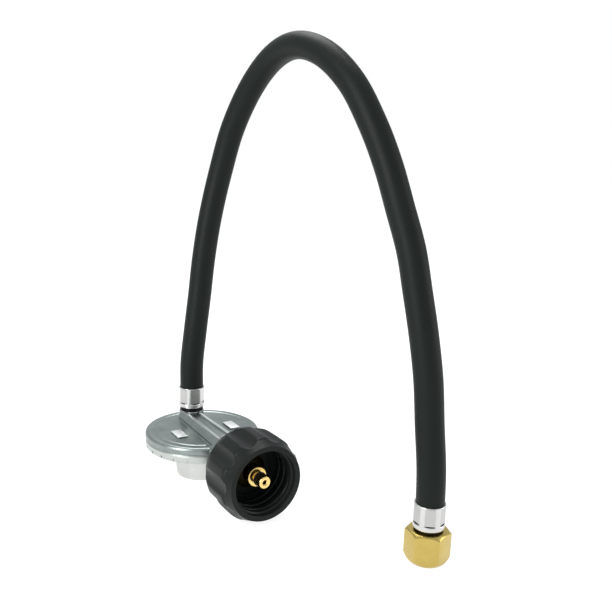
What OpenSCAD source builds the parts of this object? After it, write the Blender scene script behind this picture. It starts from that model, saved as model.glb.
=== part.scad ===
// Low-pressure propane regulator with a tank handwheel, a crimped hose and a flare nut.
// Millimetres, +Z up.  The origin is on the axis of the round body, in the face that
// the regulator rests on.  The tank inlet points along -Y.

/* [Regulator body] */
// Diameter of the round body casting
disc_d = 65; // [60:1:76]
// Height of the rolled rim of the body
rim_h = 9; // [7.5:0.5:10]
// Thickness of the flat top of the body
top_wall = 2; // [1.6:0.2:2.4]
// How far the gas channel stands above the flat top
channel_rise = 5; // [4.5:0.25:6]
// Width of the gas channel
channel_w = 12.5; // [12:0.5:20]
// Diameter of the outlet boss
outlet_boss_d = 14.5; // [14:0.5:20]
// Diameter of the inlet boss
inlet_boss_d = 21; // [18:0.5:24]
// Length of the inlet boss past the edge of the body
inlet_boss_l = 14; // [10:0.5:16]

/* [Spring tower] */
// Height of the tower under the rim
tower_h = 17.5; // [17:0.5:22]
// Diameter of the tower at its foot
tower_foot_d = 29; // [28:0.5:31]
// Diameter of the tower under the flange
tower_top_d = 32; // [30:0.5:36]
// Diameter of the spring chamber
tower_bore_d = 24; // [22:0.5:25]
// Diameter of the closing cap
cap_d = 22; // [19:0.5:22.5]
// Thickness of the closing cap
cap_h = 3; // [2.5:0.5:4]

/* [Diaphragm and valve] */
// Thickness of the diaphragm
diaphragm_t = 0.8; // [0.6:0.1:1]
// Thickness of the flange of the lower casting
flange_t = 2; // [1.6:0.2:2.4]
// Full travel of the diaphragm stem
stem_travel = 1.6; // [1:0.2:1.8]
// Diameter of the sliding valve carrier
carrier_d = 4.8; // [4:0.2:5]
// Diameter of the gas orifice
orifice_d = 1.8; // [1:0.1:2.2]
// Diameter of the lever pin
lever_pin_d = 1.6; // [1.2:0.1:2]
// Wire diameter of the main spring
main_wire_d = 1.5; // [1:0.1:1.8]

/* [Tank inlet] */
// Largest diameter of the handwheel, over its lobes
handwheel_d = 45; // [42:0.5:48]
// Length of the handwheel
handwheel_l = 30; // [29:0.5:36]
// Diameter of the thread wall inside the handwheel
tank_thread_d = 32.4; // [31:0.2:33.4]
// Diameter of the plain mouth of the handwheel
mouth_d = 34; // [33.6:0.2:35]
// Number of lobes on the handwheel
lobes = 10; // [8:1:12]
// Diameter of the nipple's bearing shaft
nipple_d = 12; // [11:0.2:13]
// Diameter of the nipple's nose
nose_d = 6.5; // [6:0.1:7.5]
// Diameter of the gas bore through the nipple
nipple_bore_d = 6.4; // [5.8:0.1:6.6]

/* [Hose and outlet fitting] */
// Outside diameter of the hose
hose_d = 13.6; // [12.5:0.1:14.5]
// Bore of the hose
hose_bore_d = 6.4; // [6:0.1:7]
// Length of each crimped ferrule
ferrule_l = 12; // [10:0.5:16]
// Wall of each ferrule
ferrule_wall = 0.9; // [0.6:0.1:1.4]
// Width of the flare nut across its flats
flare_nut_af = 19.05; // [18:0.05:22]
// Height of the flare nut
flare_nut_h = 15.5; // [15:0.5:18]
// Diameter of the thread wall in the flare nut
flare_thread_d = 14.4; // [13.6:0.1:15]
// Length of the thread wall, from the mouth of the flare nut
flare_thread_l = 8.5; // [7:0.5:9]

/* [Fits] */
// Clearance on the radius of a turning or sliding fit
running_gap = 0.06; // [0.03:0.01:0.1]
// Clearance between the faces of pieces that move past each other
face_gap = 0.3; // [0.2:0.05:0.4]
// Clearance on the radius of a fixed seat
seat_gap = 0.02; // [0.01:0.01:0.04]
// How far the crimped ferrule bites into the hose, on the radius
crimp_bite = 0.2; // [0.1:0.05:0.4]

/* [Hidden] */

$fn = 96;
eps = 0.01;

// The hose's middle line, from inside one ferrule to inside the other
HOSE_ROUTE = [
    [2, 20, 34], [2, 20, 45], [2, 20, 61], [4, 20, 80], [7, 21, 101], [10, 22, 124],
    [14, 22, 148], [19, 20, 173], [23, 13, 198], [27, -1, 220], [29, -21, 234],
    [30, -43, 238], [32, -65, 232], [35, -84, 218], [38, -98, 199], [41, -107, 181],
    [43, -115, 162], [45, -122, 144], [46, -127, 126], [47, -132, 107], [48, -136, 87],
    [49, -138, 66], [50, -140, 46], [51, -140, 29], [51, -140, 17.5]
];
HOSE_SIDES = 12;
hose_start = HOSE_ROUTE[0];
hose_end = HOSE_ROUTE[len(HOSE_ROUTE) - 1];

// Heights and places in the body
disc_r = disc_d / 2;
disc_top = tower_h + rim_h;
disc_under = disc_top - top_wall;
channel_top = disc_top + channel_rise;
channel_roof = channel_top - 1.5;
rim_lip_t = 0.8;
flange_r = disc_r - 2;
flange_z = tower_h + rim_lip_t;
clamp_z = flange_z + flange_t;
ledge_z = clamp_z + diaphragm_t;
chamber_r = disc_r - 6;
inlet_z = handwheel_d / 2;
inlet_face_y = -(disc_r + inlet_boss_l);
inlet_bore_d = 11.2;
inlet_bore_l = 5;
outlet_x = hose_start[0];
outlet_y = hose_start[1];
outlet_boss_top = channel_top + 0.1;
insert_collar_d = 13.6;
insert_collar_l = 2.2;
insert_seat_r = 4.6;
insert_seat_l = 4;
regulator_ferrule_z = outlet_boss_top + insert_collar_l;

// The lever works between the diaphragm stem and the valve carrier
pivot_y = -12;
pivot_z = channel_roof - 1.8;
carrier_z = channel_roof - 3.6;
finger_z = carrier_z - 0.8;
lever_w = 3;
barrel_r = 1.5;
finger_t = 1.2;
guide_r = 3.7;
guide_y = [-19.5, -15];
nozzle_r = carrier_d / 2;
nozzle_y = [-27.5, -22];
seat_lip_y = -21.5;
seat_face_y = seat_lip_y + 0.45;
carrier_y = [-20.7, -10.4];
channel_cavity_w = channel_w - 3.5;
lever_pin_l = channel_w - 1.7;

// The diaphragm stack
stack_z = clamp_z + 0.2;
plate_t = 1;
plate_r = tower_bore_d / 2 - 1;
stem_r = 1.5;
shoulder_z = stack_z + diaphragm_t;
stem_neck_r = 1.4;
fork_z = disc_under - 1;
fork_t = 0.9;
head_z = fork_z + fork_t + 0.6;
head_t = 1;
adjuster_z = cap_h + 2;
adjuster_t = 3;
spring_low_z = adjuster_z + adjuster_t;
spring_high_z = stack_z - plate_t;

// The tank inlet, along -Y
shoulder_l = 3;
wheel_back_y = inlet_face_y;
wheel_wall_y = wheel_back_y - shoulder_l - face_gap;
wheel_wall_t = 3.5;
bushing_y = wheel_wall_y - wheel_wall_t;
bushing_t = 3;
bushing_d = 24.6;
ring_d = 26.4;
ring_t = 1;
collar_y = bushing_y - bushing_t - face_gap;
collar_t = 2.5;
collar_d = 17;
wheel_front_y = wheel_back_y - handwheel_l;
nose_tip_y = wheel_front_y + 1;
nose_l = 5;
nose_collar_d = 10.7;
nose_collar_y = nose_tip_y + 8;
nose_collar_t = 3;
poppet_stop_y = nose_collar_y + 4;
poppet_y = poppet_stop_y + 0.3;
poppet_l = 6;
poppet_nose_l = 3;
flow_seat_t = 2;
flow_seat_y = inlet_face_y - 6.2;

// The flare end of the hose
flare_wall_t = 1.8;
flare_head_t = 3;
flare_head_r = flare_thread_d / 2 - 0.3;
flare_relief = 0.3;
stem_shaft_d = 9;
flare_collar_z = flare_nut_h + face_gap;
flare_collar_l = 0.9;
far_ferrule_z = flare_collar_z + flare_collar_l;
barb_root_d = hose_bore_d - 0.2;
barb_tip_d = hose_bore_d + 0.8;
barb_bore_d = 4.4;
ferrule_r = hose_d / 2 - crimp_bite + ferrule_wall;
ferrule_floor_t = 0.8;

// ---- helpers ----------------------------------------------------------------------

// Turns a shape made along +Z so that it runs along -Y from y at height z
module along_inlet(y, z) {
    translate([0, y, z]) rotate([90, 0, 0]) children();
}

module tube(r_out, r_in, h) {
    difference() {
        cylinder(r = r_out, h = h);
        translate([0, 0, -eps]) cylinder(r = r_in, h = h + 2 * eps);
    }
}

// A hexagonal prism whose ends are chamfered by a cone
module hex_prism(across_flats, h, chamfer) {
    corner_r = across_flats / sqrt(3);
    intersection() {
        rotate([0, 0, 30]) cylinder(r = corner_r, h = h, $fn = 6);
        rotate_extrude()
            polygon([[0, 0], [corner_r - chamfer, 0], [corner_r, chamfer * 0.6],
                     [corner_r, h - chamfer * 0.6], [corner_r - chamfer, h], [0, h]]);
    }
}

// A barbed tail that points along +Z from z = 0
module barbs(length) {
    pitch = 2.75;
    count = floor((length - 1) / pitch);
    rotate_extrude()
        polygon(concat(
            [[barb_bore_d / 2, 0], [barb_root_d / 2, 0]],
            [for (i = [0 : count - 1]) each [
                [barb_root_d / 2, 1 + i * pitch],
                [barb_tip_d / 2, 1.2 + i * pitch],
                [barb_root_d / 2, 1 + (i + 1) * pitch]]],
            [[barb_bore_d / 2, 1 + count * pitch]]));
}

// A coil spring as one swept tube, with flat-wound ends
function coil_pitch(t, turns) = let (e = 1 / turns)
    t < e ? 0.5 * t * t / e : t > 1 - e ? (1 - e) - 0.5 * (1 - t) * (1 - t) / e : t - 0.5 * e;

module coil(mean_r, wire_d, height, turns, steps = 14, sides = 8) {
    rings = turns * steps;
    rise = height - wire_d;
    points = [for (i = [0 : rings]) let (
            t = i / rings, a = 360 * turns * t,
            z = wire_d / 2 + rise * coil_pitch(t, turns) / coil_pitch(1, turns))
        for (k = [0 : sides - 1]) let (b = 360 * k / sides, r = mean_r + wire_d / 2 * cos(b))
            [r * cos(a), r * sin(a), z + wire_d / 2 * sin(b)]];
    polyhedron(points, tube_faces(rings + 1, sides), convexity = 10);
}

// Faces of a swept tube of n rings, closed at both ends
function tube_faces(n, sides) = concat(
    [[for (k = [0 : sides - 1]) k]],
    [for (i = [0 : n - 2], k = [0 : sides - 1]) let (j = (k + 1) % sides)
        [i * sides + k, (i + 1) * sides + k, (i + 1) * sides + j, i * sides + j]],
    [[for (k = [sides - 1 : -1 : 0]) (n - 1) * sides + k]]);

function unit(v) = v / norm(v);
function route_direction(p, i) =
    unit(i == 0 ? p[1] - p[0] : i == len(p) - 1 ? p[i] - p[i - 1]
         : unit(p[i + 1] - p[i]) + unit(p[i] - p[i - 1]));

// Carries a side direction along the route without twisting it
function side_directions(p, i = 0, last = [1, 0, 0], out = []) =
    i == len(p) ? out : let (d = route_direction(p, i), s = unit(last - (last * d) * d))
        side_directions(p, i + 1, s, concat(out, [s]));

function ring_points(p, sides_dir, r, sides) =
    [for (i = [0 : len(p) - 1]) let (d = route_direction(p, i), s = sides_dir[i], u = cross(d, s))
        for (k = [0 : sides - 1]) let (a = 360 * k / sides)
            p[i] + r * (cos(a) * s + sin(a) * u)];

// ---- regulator body ---------------------------------------------------------------

module body_profile() {
    groove_z = disc_top - 4.6;
    polygon(concat(
        [[0, tower_h], [disc_r - 0.8, tower_h], [disc_r - 0.2, tower_h + 0.6],
         [disc_r - 0.2, groove_z - 0.5], [disc_r - 0.7, groove_z], [disc_r - 0.7, groove_z + 0.4],
         [disc_r, groove_z + 0.9]],
        [for (a = [0 : 15 : 90]) [disc_r - 2 + 2 * cos(a), disc_top - 2 + 2 * sin(a)]],
        [[0, disc_top]]));
}

module body_channel() {
    half = channel_w / 2;
    shoulder_z = disc_top + 1.5;
    crown_z = channel_top - 0.8;
    translate([0, outlet_y, 0]) rotate([90, 0, 0])
        linear_extrude(height = outlet_y - inlet_face_y - 2)
            polygon([[-half, disc_under + eps], [-half, shoulder_z], [-half + 2, channel_top],
                     [-half + 3.6, channel_top], [-half + 4.6, crown_z], [half - 4.6, crown_z],
                     [half - 3.6, channel_top], [half - 2, channel_top], [half, shoulder_z],
                     [half, disc_under + eps]]);
}

// Two plain raised pads, one each side of the channel
module body_pads() {
    pad = [6, 11, 0.9];
    gap = 7;
    for (side = [-1, 1])
        translate([side * (channel_w / 2 + gap + pad[0] / 2) - pad[0] / 2, -10, disc_top - eps]) cube(pad);
}

module crimp_notches() {
    for (i = [0 : 23])
        rotate([0, 0, 7.5 + 15 * i])
            translate([disc_r - 0.75, -0.8, tower_h - eps]) cube([1.2, 1.6, 2]);
}

module body_casting() {
    slant_start = [inlet_face_y + inlet_bore_l - 0.5, inlet_z];
    slant_end = [nozzle_y[0] - 1.5, carrier_z];
    slant = slant_end - slant_start;
    color([0.53, 0.57, 0.56]) difference() {
        union() {
            difference() {
                union() {
                    rotate_extrude() body_profile();
                    body_channel();
                    body_pads();
                    translate([outlet_x, outlet_y, disc_under])
                        cylinder(d = outlet_boss_d, h = outlet_boss_top - disc_under);
                    along_inlet(-disc_r + 1.5, inlet_z)
                        cylinder(d = inlet_boss_d, h = inlet_boss_l + 1.5);
                }
                // The chamber, the seat of the lower flange and the open mouth in the lip
                translate([0, 0, ledge_z - eps]) cylinder(r = chamber_r, h = disc_under - ledge_z + eps);
                translate([0, 0, flange_z]) cylinder(r = flange_r + seat_gap, h = ledge_z - flange_z);
                translate([0, 0, tower_h - 8]) cylinder(r = flange_r - 1.2, h = rim_lip_t + 8 + eps);
                // The space for the lever inside the channel
                translate([-channel_cavity_w / 2, nozzle_y[0], disc_under - eps])
                    cube([channel_cavity_w, 8 - nozzle_y[0], channel_roof - disc_under]);
            }
            // Nozzle seat and carrier guide hang from the roof of the channel
            for (span = [[nozzle_y[0] - 2, nozzle_y[1] - 0.3], guide_y]) {
                along_inlet(span[1], carrier_z) cylinder(r = guide_r, h = span[1] - span[0]);
                translate([-channel_cavity_w / 2 - eps, span[0], carrier_z])
                    cube([channel_cavity_w + 2 * eps, span[1] - span[0], channel_roof - carrier_z + eps]);
            }
        }
        // Guide bore, nozzle bore, slanted drilling and inlet bore
        along_inlet(guide_y[1] + 1, carrier_z)
            cylinder(r = carrier_d / 2 + running_gap, h = guide_y[1] - guide_y[0] + 2);
        along_inlet(nozzle_y[1] + 0.5, carrier_z)
            cylinder(r = nozzle_r + seat_gap, h = nozzle_y[1] - nozzle_y[0] + 3.5);
        translate([0, slant_start[0], slant_start[1]])
            rotate([atan2(-slant[0], slant[1]), 0, 0]) cylinder(r = 1.4, h = norm(slant), $fn = 32);
        along_inlet(inlet_face_y + inlet_bore_l, inlet_z)
            cylinder(d = inlet_bore_d + 2 * seat_gap, h = inlet_bore_l + 1);
        // Outlet passage: along the channel, then up through the boss
        along_inlet(outlet_y, channel_top - 4) cylinder(r = 2.2, h = outlet_y - 7, $fn = 48);
        translate([outlet_x, outlet_y, channel_top - 4]) cylinder(r = 2.2, h = 8, $fn = 48);
        translate([outlet_x, outlet_y, outlet_boss_top - insert_seat_l])
            cylinder(r = insert_seat_r + seat_gap, h = insert_seat_l + 1);
        // Holes of the lever pin
        translate([0, pivot_y, pivot_z]) rotate([0, 90, 0])
            cylinder(d = lever_pin_d + 2 * seat_gap, h = lever_pin_l + 0.2, center = true, $fn = 48);
        crimp_notches();
    }
}

// ---- lower casting and what it holds ----------------------------------------------

module bonnet_casting() {
    pan_z = flange_z + 0.4;
    flange_mouth_r = flange_r - 1.2 - seat_gap;
    foot_r = tower_foot_d / 2;
    color([0.86, 0.87, 0.86]) difference() {
        rotate_extrude()
            polygon([[cap_d / 2 + seat_gap, 0], [foot_r - 0.8, 0], [foot_r, 0.8],
                     [tower_top_d / 2, tower_h - 0.8], [tower_top_d / 2 + 1.2, tower_h],
                     [flange_mouth_r, tower_h], [flange_mouth_r, flange_z],
                     [flange_r, flange_z], [flange_r, clamp_z], [chamber_r, clamp_z],
                     [chamber_r - 1.2, pan_z], [tower_bore_d / 2, pan_z],
                     [tower_bore_d / 2, cap_h + 1], [cap_d / 2 + seat_gap, cap_h]]);
        translate([chamber_r - 5, 0, tower_h - 1]) cylinder(r = 1.8, h = 4, $fn = 48);
        translate([chamber_r - 5, 0, tower_h - eps]) cylinder(r = 2.6 + seat_gap, h = 0.6, $fn = 48);
    }
}

module closing_cap() {
    color([0.80, 0.82, 0.82]) difference() {
        union() {
            cylinder(d = cap_d, h = cap_h - 0.4);
            cylinder(d = cap_d - 2, h = cap_h);
        }
        // Two blind holes for a pin spanner
        for (side = [-1, 1])
            translate([side * 6, 0, -eps]) cylinder(d = 2.4, h = 1.6, $fn = 32);
    }
}

module adjuster_disc() {
    color([0.75, 0.64, 0.36]) difference() {
        translate([0, 0, adjuster_z]) union() {
            cylinder(d = tower_bore_d - 2 * seat_gap, h = adjuster_t - 0.8);
            cylinder(d = tower_bore_d - 6, h = adjuster_t);
        }
        translate([0, 0, adjuster_z - eps]) cylinder(d = 8 / cos(30), h = adjuster_t + 1, $fn = 6);
    }
}

module vent_screen() {
    color([0.6, 0.6, 0.62]) difference() {
        translate([chamber_r - 5, 0, tower_h]) cylinder(r = 2.6, h = 0.5, $fn = 48);
        for (a = [0 : 60 : 300])
            translate([chamber_r - 5 + 1.1 * cos(a), 1.1 * sin(a), tower_h - 1])
                cylinder(d = 0.5, h = 3, $fn = 16);
    }
}

module main_spring() {
    slack = 0.05;
    color([0.55, 0.56, 0.58]) translate([0, 0, spring_low_z + slack])
        coil(tower_bore_d / 2 - 3.6, main_wire_d, spring_high_z - spring_low_z - 2 * slack, 5);
}

// Clamped edge, one downward roll and a flat middle
module diaphragm() {
    roll_r = [plate_r + 6.5, 2.2];
    middle = stack_z;
    low = clamp_z - stem_travel + 0.3;
    outer = chamber_r - 1.5;
    color([0.12, 0.12, 0.12]) rotate_extrude()
        polygon([[stem_r + 0.15, middle], [plate_r + 1.5, middle], [roll_r[0] - 1.2, low],
                 [roll_r[0] + 1.2, low], [outer, clamp_z], [flange_r - 0.2, clamp_z],
                 [flange_r - 0.2, ledge_z], [outer - 0.3, ledge_z],
                 [roll_r[0] + 0.9, low + diaphragm_t], [roll_r[0] - 0.9, low + diaphragm_t],
                 [plate_r + 1.8, shoulder_z], [stem_r + 0.15, shoulder_z]]);
}

module diaphragm_plate() {
    color([0.78, 0.79, 0.80]) translate([0, 0, stack_z - plate_t])
        rotate_extrude()
            polygon([[stem_r + seat_gap, 0], [plate_r, 0], [plate_r, plate_t * 0.6],
                     [plate_r - 0.5, plate_t], [stem_r + seat_gap, plate_t]]);
}

module diaphragm_stem() {
    color([0.8, 0.68, 0.38]) rotate_extrude($fn = 48)
        polygon([[0, stack_z - plate_t - 2.4], [stem_r, stack_z - plate_t - 2.4],
                 [stem_r, shoulder_z], [3.5, shoulder_z], [3.5, shoulder_z + 0.6],
                 [stem_neck_r, shoulder_z + 0.6], [stem_neck_r, head_z], [2.6, head_z],
                 [2.6, head_z + head_t - 0.3], [2.2, head_z + head_t], [0, head_z + head_t]]);
}

module stem_nut() {
    color([0.72, 0.73, 0.75]) difference() {
        translate([0, 0, stack_z - plate_t - 1.9]) cylinder(d = 5.5 / cos(30), h = 1.9, $fn = 6);
        translate([0, 0, stack_z - plate_t - 2.5]) cylinder(r = stem_r + seat_gap, h = 3, $fn = 48);
    }
}

// ---- valve ------------------------------------------------------------------------

module lever() {
    arm_root = [pivot_y + 0.4, pivot_z];
    fork_y = [-4.6, 2.5];
    color([0.70, 0.71, 0.72]) difference() {
        union() {
            translate([-lever_w / 2, pivot_y, pivot_z]) rotate([0, 90, 0])
                cylinder(r = barrel_r, h = lever_w, $fn = 48);
            translate([-1, pivot_y - finger_t / 2, finger_z - 0.4])
                cube([2, finger_t, pivot_z - finger_z]);
            translate([-lever_w / 2, 0, 0]) rotate([90, 0, 90]) linear_extrude(height = lever_w)
                polygon([[arm_root[0], arm_root[1] - 0.5], [arm_root[0] + 0.6, arm_root[1] + 1.2],
                         [fork_y[0] + 1.2, fork_z + fork_t], [fork_y[0], fork_z]]);
            translate([-3.1, fork_y[0], fork_z]) cube([6.2, fork_y[1] - fork_y[0], fork_t]);
        }
        translate([0, pivot_y, pivot_z]) rotate([0, 90, 0])
            cylinder(d = lever_pin_d + 2 * running_gap, h = 12, center = true, $fn = 48);
        translate([-stem_neck_r - 0.35, -stem_neck_r - 1.1, fork_z - 1])
            cube([2 * stem_neck_r + 0.7, 6, fork_t + 2]);
    }
}

module lever_pin() {
    color([0.62, 0.63, 0.65]) translate([0, pivot_y, pivot_z]) rotate([0, 90, 0])
        cylinder(d = lever_pin_d, h = lever_pin_l, center = true, $fn = 48);
}

module valve_carrier() {
    length = carrier_y[1] - carrier_y[0];
    slot_half = finger_t / 2 + face_gap;
    color([0.80, 0.68, 0.38]) difference() {
        along_inlet(carrier_y[1], carrier_z) cylinder(d = carrier_d, h = length);
        // Pocket of the seat disc
        along_inlet(carrier_y[0] + 1.2, carrier_z) cylinder(r = 1.8 + seat_gap, h = 2, $fn = 48);
        // Flat under the lever's barrel and slot of its finger
        translate([-3, pivot_y - barrel_r - face_gap - 0.5, carrier_z])
            cube([6, 8, 4]);
        translate([-3, pivot_y - slot_half, finger_z - 0.4 - face_gap])
            cube([6, 2 * slot_half, 6]);
    }
}

module seat_disc() {
    color([0.10, 0.10, 0.10]) along_inlet(carrier_y[0] + 1.2, carrier_z)
        cylinder(r = 1.8, h = carrier_y[0] + 1.2 - seat_face_y, $fn = 48);
}

module orifice_nozzle() {
    length = nozzle_y[1] - nozzle_y[0];
    color([0.83, 0.70, 0.40]) along_inlet(nozzle_y[1], carrier_z) difference() {
        union() {
            cylinder(r = nozzle_r, h = length);
            translate([0, 0, nozzle_y[1] - seat_lip_y])
                cylinder(r1 = orifice_d / 2 + 0.35, r2 = orifice_d / 2 + 0.8,
                         h = seat_lip_y - nozzle_y[1] + eps, $fn = 48);
        }
        translate([0, 0, -2]) cylinder(d = orifice_d, h = length + 4, $fn = 48);
        translate([0, 0, 2]) cylinder(r = 1.6, h = length, $fn = 48);
    }
}

// ---- tank inlet -------------------------------------------------------------------

// The nipple's profile: x is the radius, y the distance from the boss face
module nipple_profile() {
    tail = -inlet_bore_l + 0.5;
    collar = inlet_face_y - collar_y;
    nose_collar = inlet_face_y - nose_collar_y;
    tip = inlet_face_y - nose_tip_y;
    bore = nipple_bore_d / 2;
    stop = inlet_face_y - poppet_stop_y;
    polygon([[bore, tail], [inlet_bore_d / 2, tail], [inlet_bore_d / 2, 0], [8, 0],
             [8, shoulder_l], [nipple_d / 2, shoulder_l], [nipple_d / 2, collar],
             [collar_d / 2, collar], [collar_d / 2, collar + collar_t],
             [4.8, collar + collar_t + 1.5], [4.6, nose_collar - nose_collar_t],
             [nose_collar_d / 2, nose_collar - nose_collar_t + 0.3], [nose_collar_d / 2, nose_collar - 0.4],
             [nose_collar_d / 2 - 0.4, nose_collar], [2.5, nose_collar],
             [2.5, tip - nose_l - 0.2], [nose_d / 2, tip - nose_l], [nose_d / 2, tip - 0.8],
             [nose_d / 2 - 0.8, tip], [1.6, tip], [1.1, tip - 0.6],
             [1.1, stop + 1], [bore, stop]]);
}

module inlet_nipple() {
    color([0.83, 0.70, 0.40]) along_inlet(inlet_face_y, inlet_z) rotate_extrude() nipple_profile();
}

module nose_seal() {
    color([0.08, 0.08, 0.08]) along_inlet(nose_tip_y + nose_l + 1.6, inlet_z)
        tube(3.7, 2.5 + seat_gap, 1.2);
}

// Shuttle that closes when gas rushes out: guide with flats, then a cone
module flow_poppet() {
    guide_r = nipple_bore_d / 2 - running_gap;
    color([0.85, 0.75, 0.45]) translate([0, poppet_y, inlet_z]) rotate([-90, 0, 0]) difference() {
        union() {
            cylinder(r = guide_r, h = poppet_l, $fn = 64);
            translate([0, 0, poppet_l - eps])
                cylinder(r1 = 1.3, r2 = 0.6, h = poppet_nose_l, $fn = 48);
        }
        for (a = [0 : 120 : 240])
            rotate([0, 0, a]) translate([guide_r - 0.7, -4, -1]) cube([4, 8, poppet_l + 2]);
    }
}

module poppet_spring() {
    slack = 0.05;
    start = poppet_y + poppet_l + slack;
    color([0.6, 0.61, 0.63]) translate([0, start, inlet_z]) rotate([-90, 0, 0])
        coil(2.1, 0.5, flow_seat_y - slack - start, 4, 12, 6);
}

module flow_seat() {
    color([0.80, 0.66, 0.36]) along_inlet(flow_seat_y + flow_seat_t, inlet_z)
        tube(nipple_bore_d / 2 - seat_gap, 1.5, flow_seat_t);
}

// Inside and outside of the handwheel: x is the radius, y the distance from its back
module handwheel_profile() {
    r = handwheel_d / 2;
    wall = wheel_back_y - wheel_wall_y;
    pocket = wheel_back_y - bushing_y;
    step = pocket + bushing_t;
    polygon([[nipple_d / 2 + running_gap, wall], [9.6, wall], [9.6, 0], [r - 5, 0],
             [r - 1.9, 2.5], [r - 0.8, 5], [r, 9], [r, handwheel_l - 8],
             [r - 0.9, handwheel_l - 5], [r - 1.9, handwheel_l - 2.5],
             [r - 2.8, handwheel_l], [mouth_d / 2, handwheel_l],
             [mouth_d / 2, handwheel_l - 3], [tank_thread_d / 2, handwheel_l - 3.6],
             [tank_thread_d / 2, step + ring_t + 0.4], [ring_d / 2 + seat_gap, step + ring_t + 0.4],
             [ring_d / 2 + seat_gap, step], [bushing_d / 2 + seat_gap, step],
             [bushing_d / 2 + seat_gap, pocket], [nipple_d / 2 + running_gap, pocket]]);
}

module handwheel() {
    flute_r = 7;
    flute_depth = 1.7;
    color([0.11, 0.12, 0.12]) along_inlet(wheel_back_y, inlet_z) difference() {
        rotate_extrude() handwheel_profile();
        // Grip flutes lie between the lobes, and one lobe points straight down
        for (i = [0 : lobes - 1])
            rotate([0, 0, 90 + (i + 0.5) * 360 / lobes])
                translate([handwheel_d / 2 - flute_depth + flute_r, 0, -1])
                    cylinder(r = flute_r, h = handwheel_l - 5.4, $fn = 64);
    }
}

module thermal_bushing() {
    color([0.20, 0.20, 0.19]) along_inlet(bushing_y, inlet_z)
        tube(bushing_d / 2, nipple_d / 2 + running_gap, bushing_t);
}

module bushing_ring() {
    color([0.66, 0.67, 0.69]) along_inlet(bushing_y - bushing_t, inlet_z)
        tube(ring_d / 2, collar_d / 2 + 0.7, ring_t);
}

// ---- hose and fittings ------------------------------------------------------------

// A crimped sleeve along +Z whose closed end is at z = 0
module ferrule() {
    bore_r = hose_d / 2 - crimp_bite;
    difference() {
        rotate_extrude()
            polygon([[ferrule_r - 0.6, 0], [ferrule_r, 0.6], [ferrule_r, ferrule_l - 0.5],
                     [ferrule_r - 0.3, ferrule_l], [bore_r, ferrule_l],
                     [bore_r, ferrule_floor_t], [barb_root_d / 2 + seat_gap, ferrule_floor_t],
                     [barb_root_d / 2 + seat_gap, 0]]);
        // Eight crimped flats
        for (i = [0 : 7])
            rotate([0, 0, 45 * i]) translate([ferrule_r - 0.35, -4, 2]) cube([2, 8, ferrule_l - 4.2]);
    }
}

module outlet_insert() {
    color([0.80, 0.68, 0.40]) translate([outlet_x, outlet_y, outlet_boss_top]) union() {
        translate([0, 0, eps - insert_seat_l]) tube(insert_seat_r, barb_bore_d / 2, insert_seat_l);
        tube(insert_collar_d / 2, barb_bore_d / 2, insert_collar_l);
        translate([0, 0, insert_collar_l - eps]) barbs(ferrule_l);
    }
}

module regulator_ferrule() {
    color([0.80, 0.81, 0.82]) translate([outlet_x, outlet_y, regulator_ferrule_z]) ferrule();
}

// Outer and inner wall of the hose, joined by a ring face at each end
module hose() {
    sides_dir = side_directions(HOSE_ROUTE);
    n = len(HOSE_ROUTE);
    outer = ring_points(HOSE_ROUTE, sides_dir, hose_d / 2, HOSE_SIDES);
    inner = ring_points(HOSE_ROUTE, sides_dir, hose_bore_d / 2, HOSE_SIDES);
    shift = n * HOSE_SIDES;
    walls = [for (i = [0 : n - 2], k = [0 : HOSE_SIDES - 1]) let (j = (k + 1) % HOSE_SIDES)
        [i * HOSE_SIDES + k, (i + 1) * HOSE_SIDES + k, (i + 1) * HOSE_SIDES + j, i * HOSE_SIDES + j]];
    ends = [for (k = [0 : HOSE_SIDES - 1]) let (j = (k + 1) % HOSE_SIDES) each [
        [k, j, shift + j, shift + k],
        [shift - HOSE_SIDES + j, shift - HOSE_SIDES + k,
         2 * shift - HOSE_SIDES + k, 2 * shift - HOSE_SIDES + j]]];
    color([0.12, 0.13, 0.13])
        polyhedron(concat(outer, inner),
                   concat(walls, [for (f = walls) [shift + f[3], shift + f[2], shift + f[1], shift + f[0]]],
                          ends), convexity = 10);
}

module far_ferrule() {
    color([0.80, 0.81, 0.82]) translate([hose_end[0], hose_end[1], far_ferrule_z]) ferrule();
}

// Barbed tail above, flared head held inside the nut below
module flare_stem() {
    head_top = flare_nut_h - flare_wall_t - 0.2;
    color([0.80, 0.68, 0.40]) translate([hose_end[0], hose_end[1], 0]) difference() {
        union() {
            translate([0, 0, head_top - flare_head_t]) cylinder(r = flare_head_r, h = flare_head_t);
            translate([0, 0, head_top - eps])
                cylinder(d = stem_shaft_d, h = flare_collar_z - head_top + 2 * eps);
            translate([0, 0, flare_collar_z]) cylinder(d = insert_collar_d, h = flare_collar_l);
            translate([0, 0, far_ferrule_z - eps]) barbs(ferrule_l);
        }
        translate([0, 0, head_top - flare_head_t - eps])
            cylinder(r1 = flare_head_r - 0.8, r2 = barb_bore_d / 2, h = flare_head_t);
        translate([0, 0, 0]) cylinder(d = barb_bore_d, h = 40);
    }
}

module flare_nut() {
    color([0.88, 0.75, 0.38]) translate([hose_end[0], hose_end[1], 0]) difference() {
        hex_prism(flare_nut_af, flare_nut_h, 1.2);
        translate([0, 0, -eps]) cylinder(d = flare_thread_d, h = flare_nut_h - flare_wall_t);
        // Relief past the end of the thread, where the flared head turns
        translate([0, 0, flare_thread_l])
            cylinder(r = flare_thread_d / 2 + flare_relief, h = flare_nut_h - flare_wall_t - flare_thread_l);
        translate([0, 0, -1]) cylinder(d = stem_shaft_d + 2 * running_gap, h = flare_nut_h + 2);
    }
}

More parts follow.
